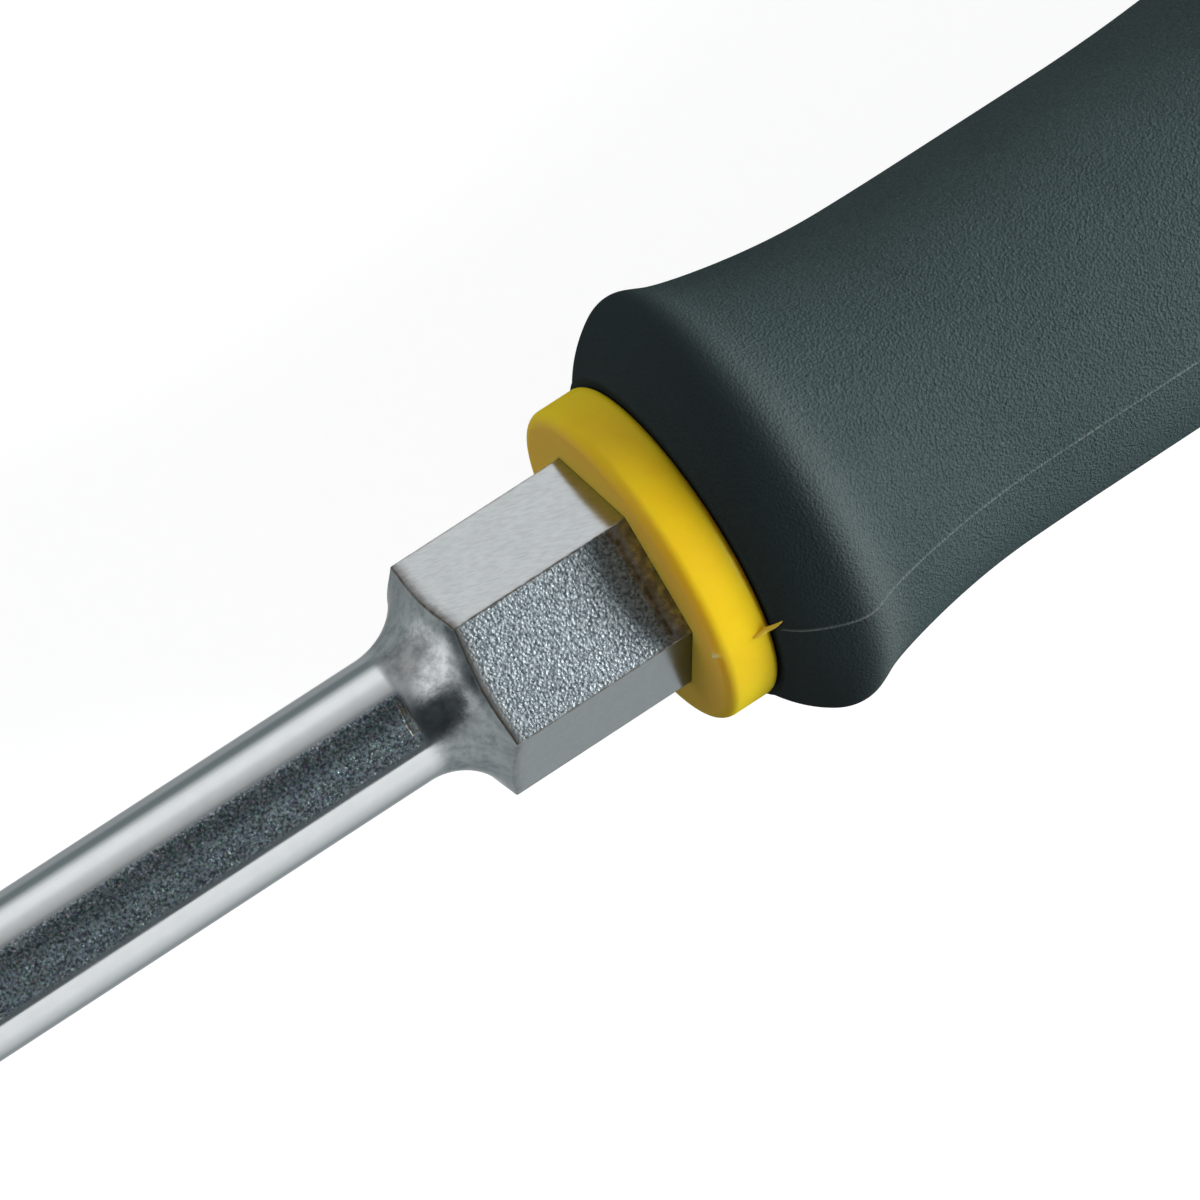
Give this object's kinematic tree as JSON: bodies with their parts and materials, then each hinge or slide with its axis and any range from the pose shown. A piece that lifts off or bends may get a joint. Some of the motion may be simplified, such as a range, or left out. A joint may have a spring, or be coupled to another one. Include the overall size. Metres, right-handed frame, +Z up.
{
  "type": "bolster screwdriver",
  "caption": "Slotted screwdriver with a round forged blade, a hexagon bolster for a spanner, a yellow collar and a dark soft-grip handle.",
  "frame": {"origin": "on the bench under the middle of the tool's length, with the handle lying on one of its three flats", "axes": "+X along the blade towards the tip, +Z up, +Y to the left seen from the butt; the blade's axis is level"},
  "size_m": [0.3, 0.0338, 0.0332],
  "materials": {
    "plated_steel": "bright plated on the round shank, satin ground and blasted on the hexagon",
    "yellow_plastic": "smooth moulded plastic, half gloss",
    "soft_grip": "fine-grained matt elastomer, dark grey-green"
  },
  "bodies": {
    "root": {"blade": "plated_steel", "collar": "yellow_plastic", "core": "yellow_plastic", "grip": "soft_grip"}
  },
  "joints": []
}
